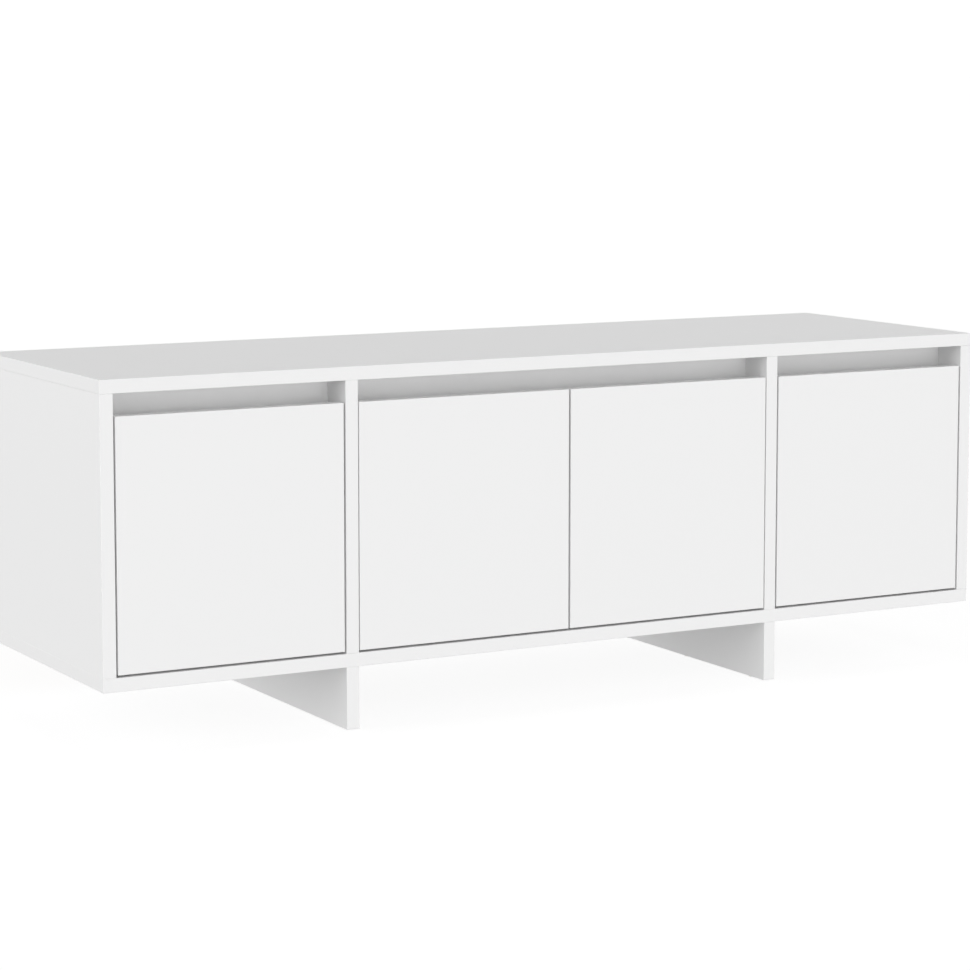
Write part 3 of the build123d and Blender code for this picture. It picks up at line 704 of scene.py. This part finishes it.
def cam_lock():
    """A die-cast cam: rim, sunk face with a raised hub, cross, pointer and bolt mouth."""
    # A hair smaller than its bore.
    radius = bpy.context.scene.stand_fittings.cam_radius / MM - 0.04
    depth, cross, cross_width, cross_depth = 12.5, 5.4, 1.3, 3.2
    lock = start("cylinder", vertices=56, radius=radius, depth=depth, location=(0, 0, -depth / 2))
    pick(lock, "faces", lambda face: face.normal.z > 0.9)
    bpy.ops.mesh.inset(thickness=0.9, depth=0)
    bpy.ops.mesh.extrude_region_move(TRANSFORM_OT_translate={"value": (0, 0, -0.8)})
    bpy.ops.mesh.inset(thickness=2.6, depth=0)
    bpy.ops.mesh.inset(thickness=0.5, depth=0.45)
    soften(lock, 0.15)
    for stretch in ((cross, cross_width, cross_depth), (cross_width, cross, cross_depth)):
        slot = start("cube", size=1, stretch=stretch, location=(0, 0, -1.8))
        shape(lock, "DIFFERENCE", slot)
    pointer = start("cylinder", vertices=3, radius=1.05, depth=0.9, location=(0, 5.2, -0.7))
    shape(lock, "UNION", pointer)
    mouth = start("cylinder", vertices=32, radius=3.8, depth=9, location=(0, 4.5, -8),
                  rotation=(pi / 2, 0, 0))
    shape(lock, "DIFFERENCE", mouth)
    return clean(lock)


# ---- Operators ----
def finish_nodes(names, material):
    """Give CAD nodes a material in every slot."""
    for name in names:
        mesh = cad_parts[name].data
        mesh.materials.clear()
        mesh.materials.append(material)


class STAND_OT_boards(bpy.types.Operator):
    """Give every board its melamine faces and every edge band its plastic"""

    bl_idname = "stand.boards"
    bl_label = "Finish boards and edge bands"

    def execute(self, context):
        facing = [f"door_{place}" for place in DOOR_PLACES]
        facing += [f"finger_rail_{place}" for place in RAIL_PLACES]
        carcass = ["top_panel", "bottom_panel"]
        carcass += [f"{board}_{side}" for board in ("side_panel", "divider", "leg")
                    for side in ("left", "right")]
        # The carcass and legs are raw at the front and rear, under their bands and behind, and the
        # boards that face the front are raw at all their edges.
        finish_nodes(carcass, melamine_board("carcass", "GREATER_THAN"))
        finish_nodes(facing, melamine_board("facing", "LESS_THAN"))
        bands = [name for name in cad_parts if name.endswith("edge_bands")]
        finish_nodes(bands, abs_edge_band())
        return {"FINISHED"}


class STAND_OT_back(bpy.types.Operator):
    """Give the hardboard back its white and brown sides and its nails their steel"""

    bl_idname = "stand.back"
    bl_label = "Finish back and nails"

    def execute(self, context):
        finish_nodes(["back_panel"], hardboard_back())
        finish_nodes(["back_nails"], zinc("bright_wire_nail_steel", 0.8, 0.32, 0.1))
        return {"FINISHED"}


class STAND_OT_fixings(bpy.types.Operator):
    """Give the bolts, screws, pins, dowels and glides their metals, wood and plastic"""

    bl_idname = "stand.fixings"
    bl_label = "Finish fixings"

    def execute(self, context):
        screws = ["cam_bolts", "leg_screws", "hinge_plate_screws", "hinge_arm_screws"]
        screws += [f"hinge_cup_screws_{place}" for place in DOOR_PLACES]
        pins = [f"hinge_pins_{place}" for place in DOOR_PLACES]
        finish_nodes(screws, zinc("zinc_plated_steel", 0.6, 0.34, 0.1))
        finish_nodes(pins, nickel_plated_steel())
        finish_nodes(["dowels"], bare_beech())
        finish_nodes(["foot_glides"], polyethylene_glide())
        return {"FINISHED"}


class STAND_OT_hinge_cups(bpy.types.Operator):
    """Press the two hinge cups of every door, with their flanges, ears and lugs"""

    bl_idname = "stand.hinge_cups"
    bl_label = "Make hinge cups"

    def execute(self, context):
        pattern, steel = hinge_cup(), nickel_plated_steel()
        for which in DOOR_PLACES:
            cups = put(pattern, hinge_places(which), f"pressed_hinge_cups_{which}", steel)
            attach(cups, f"{which}_door")
            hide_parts(f"hinge_cups_{which}")
        bpy.data.meshes.remove(pattern.data)
        return {"FINISHED"}


class STAND_OT_hinge_arms(bpy.types.Operator):
    """Press the two hinge arms of every door, with their bends, walls, grooves and slots"""

    bl_idname = "stand.hinge_arms"
    bl_label = "Make hinge arms"

    def execute(self, context):
        pattern, steel = hinge_arm(), nickel_plated_steel()
        for which in DOOR_PLACES:
            arms = put(pattern, hinge_places(which), f"pressed_hinge_arms_{which}", steel)
            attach(arms, "cabinet")
            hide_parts(f"hinge_arms_{which}")
        bpy.data.meshes.remove(pattern.data)
        return {"FINISHED"}


class STAND_OT_hinge_plates(bpy.types.Operator):
    """Press the two mounting plates of every door's hinges, with their wings, blocks and holes"""

    bl_idname = "stand.hinge_plates"
    bl_label = "Make hinge mounting plates"

    def execute(self, context):
        pattern, steel = hinge_plate(), nickel_plated_steel()
        for which in DOOR_PLACES:
            plates = put(pattern, hinge_places(which), f"pressed_hinge_plates_{which}", steel)
            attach(plates, "cabinet")
            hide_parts(f"hinge_plates_{which}")
        bpy.data.meshes.remove(pattern.data)
        return {"FINISHED"}


class STAND_OT_cam_locks(bpy.types.Operator):
    """Cast the cam locks that hold the boards together"""

    bl_idname = "stand.cam_locks"
    bl_label = "Make cam locks"

    def execute(self, context):
        pattern = cam_lock()
        locks = put(pattern, cam_places(), "cast_cam_locks", zinc("die_cast_zinc", 0.5, 0.48, 0.5))
        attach(locks, "cabinet")
        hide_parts("cam_locks")
        bpy.data.meshes.remove(pattern.data)
        return {"FINISHED"}


class STAND_OT_studio(bpy.types.Operator):
    """Set up the pale floor, the soft light and the camera"""

    bl_idname = "stand.studio"
    bl_label = "Set up studio"

    def execute(self, context):
        studio = context.scene.stand_studio
        low, high = CAD_BOX
        middle = (low + high) / 2

        # The floor only shows: the light that it would throw back comes from the sky's lower half.
        floor = start("plane", size=1000, location=(0, 0, low.z))
        bpy.ops.object.mode_set(mode="OBJECT")
        floor.name = "studio_floor"
        material, _, shader, _ = blank("matt_painted_floor", 0.9)
        shader.inputs["Base Color"].default_value = studio.floor
        shader.inputs["Specular IOR Level"].default_value = 0.0
        shader.inputs["Emission Color"].default_value = (1, 1, 1, 1)
        shader.inputs["Emission Strength"].default_value = studio.floor_glow
        floor.data.materials.append(material)
        floor.visible_diffuse = False
        floor.visible_glossy = False
        floor.visible_shadow = False

        world = bpy.data.worlds.new("studio_sky")
        world.use_nodes = True
        context.scene.world = world
        tree = world.node_tree
        sky = tree.nodes["Background"]
        sky.inputs["Strength"].default_value = studio.sky
        place = add(tree, "ShaderNodeTexCoord")
        parts = add(tree, "ShaderNodeSeparateXYZ", links={"Vector": place.outputs["Generated"]})
        rise = add(tree, "ShaderNodeMapRange", values={"From Min": -1.0},
                   links={"Value": parts.outputs["Z"]})
        shades = add(tree, "ShaderNodeValToRGB", links={"Fac": rise.outputs["Result"]})
        # Straight down is 0, the horizon 0.5 and straight up 1. The sky reaches a hair under the
        # horizon, so that no dark line shows past the floor's far edge.
        stops = shades.color_ramp.elements
        stops[0].color = (studio.bounce_below,) * 3 + (1,)
        stops[1].color = (studio.sky_top,) * 3 + (1,)
        for height, share in ((0.4945, studio.bounce), (0.496, studio.sky_low), (0.675, 1)):
            stops.new(height).color = (share,) * 3 + (1,)
        tree.links.new(shades.outputs["Color"], sky.inputs["Color"])

        lamps = (("key_light", studio.key, studio.key_azimuth, studio.key_elevation),
                 ("side_light", studio.side, studio.side_azimuth, studio.side_elevation))
        for name, energy, azimuth, elevation in lamps:
            lamp = bpy.data.objects.new(name, bpy.data.lights.new(name, "SUN"))
            lamp.data.energy = energy
            lamp.data.angle = studio.softness
            lamp.rotation_euler = (pi / 2 - elevation, 0, azimuth)
            # Wide lamps so low would only glare on the boards.
            lamp.visible_glossy = False
            context.scene.collection.objects.link(lamp)

        camera = bpy.data.objects.new("camera", bpy.data.cameras.new("camera"))
        turn, rise = studio.azimuth, studio.elevation
        back = Vector((sin(turn) * cos(rise), -cos(turn) * cos(rise), sin(rise)))
        camera.location = middle + Vector(studio.aim) + back * studio.distance
        camera.rotation_euler = (pi / 2 - rise, 0, turn)
        camera.data.sensor_width = 36
        camera.data.lens = studio.lens
        camera.data.shift_y = studio.lift
        context.scene.collection.objects.link(camera)
        context.scene.camera = camera
        context.scene.view_settings.view_transform = "Standard"
        return {"FINISHED"}


class STAND_PT_stand(bpy.types.Panel):
    """The steps that finish the stand, in order"""

    bl_idname = "STAND_PT_stand"
    bl_label = "Television stand"
    bl_space_type = "VIEW_3D"
    bl_region_type = "UI"
    bl_category = "Stand"

    def draw(self, context):
        for step in STEPS:
            self.layout.operator(step.bl_idname)
        for settings in (context.scene.stand_finishes, context.scene.stand_fittings,
                         context.scene.stand_studio):
            for name in settings.bl_rna.properties.keys():
                if name not in ("rna_type", "name"):
                    self.layout.prop(settings, name)


STEPS = (STAND_OT_boards, STAND_OT_back, STAND_OT_fixings, STAND_OT_hinge_cups, STAND_OT_hinge_arms,
         STAND_OT_hinge_plates, STAND_OT_cam_locks, STAND_OT_studio)
CLASSES = (StandFinishes, StandFittings, StandStudio, *STEPS, STAND_PT_stand)


def register():
    for cls in CLASSES:
        bpy.utils.register_class(cls)
    bpy.types.Scene.stand_finishes = bpy.props.PointerProperty(type=StandFinishes)
    bpy.types.Scene.stand_fittings = bpy.props.PointerProperty(type=StandFittings)
    bpy.types.Scene.stand_studio = bpy.props.PointerProperty(type=StandStudio)


def unregister():
    del bpy.types.Scene.stand_studio
    del bpy.types.Scene.stand_fittings
    del bpy.types.Scene.stand_finishes
    for cls in reversed(CLASSES):
        bpy.utils.unregister_class(cls)


def main():
    register()
    bpy.ops.stand.boards()
    bpy.ops.stand.back()
    bpy.ops.stand.fixings()
    bpy.ops.stand.hinge_cups()
    bpy.ops.stand.hinge_arms()
    bpy.ops.stand.hinge_plates()
    bpy.ops.stand.cam_locks()
    bpy.ops.stand.studio()


if __name__ == "__main__":
    main()
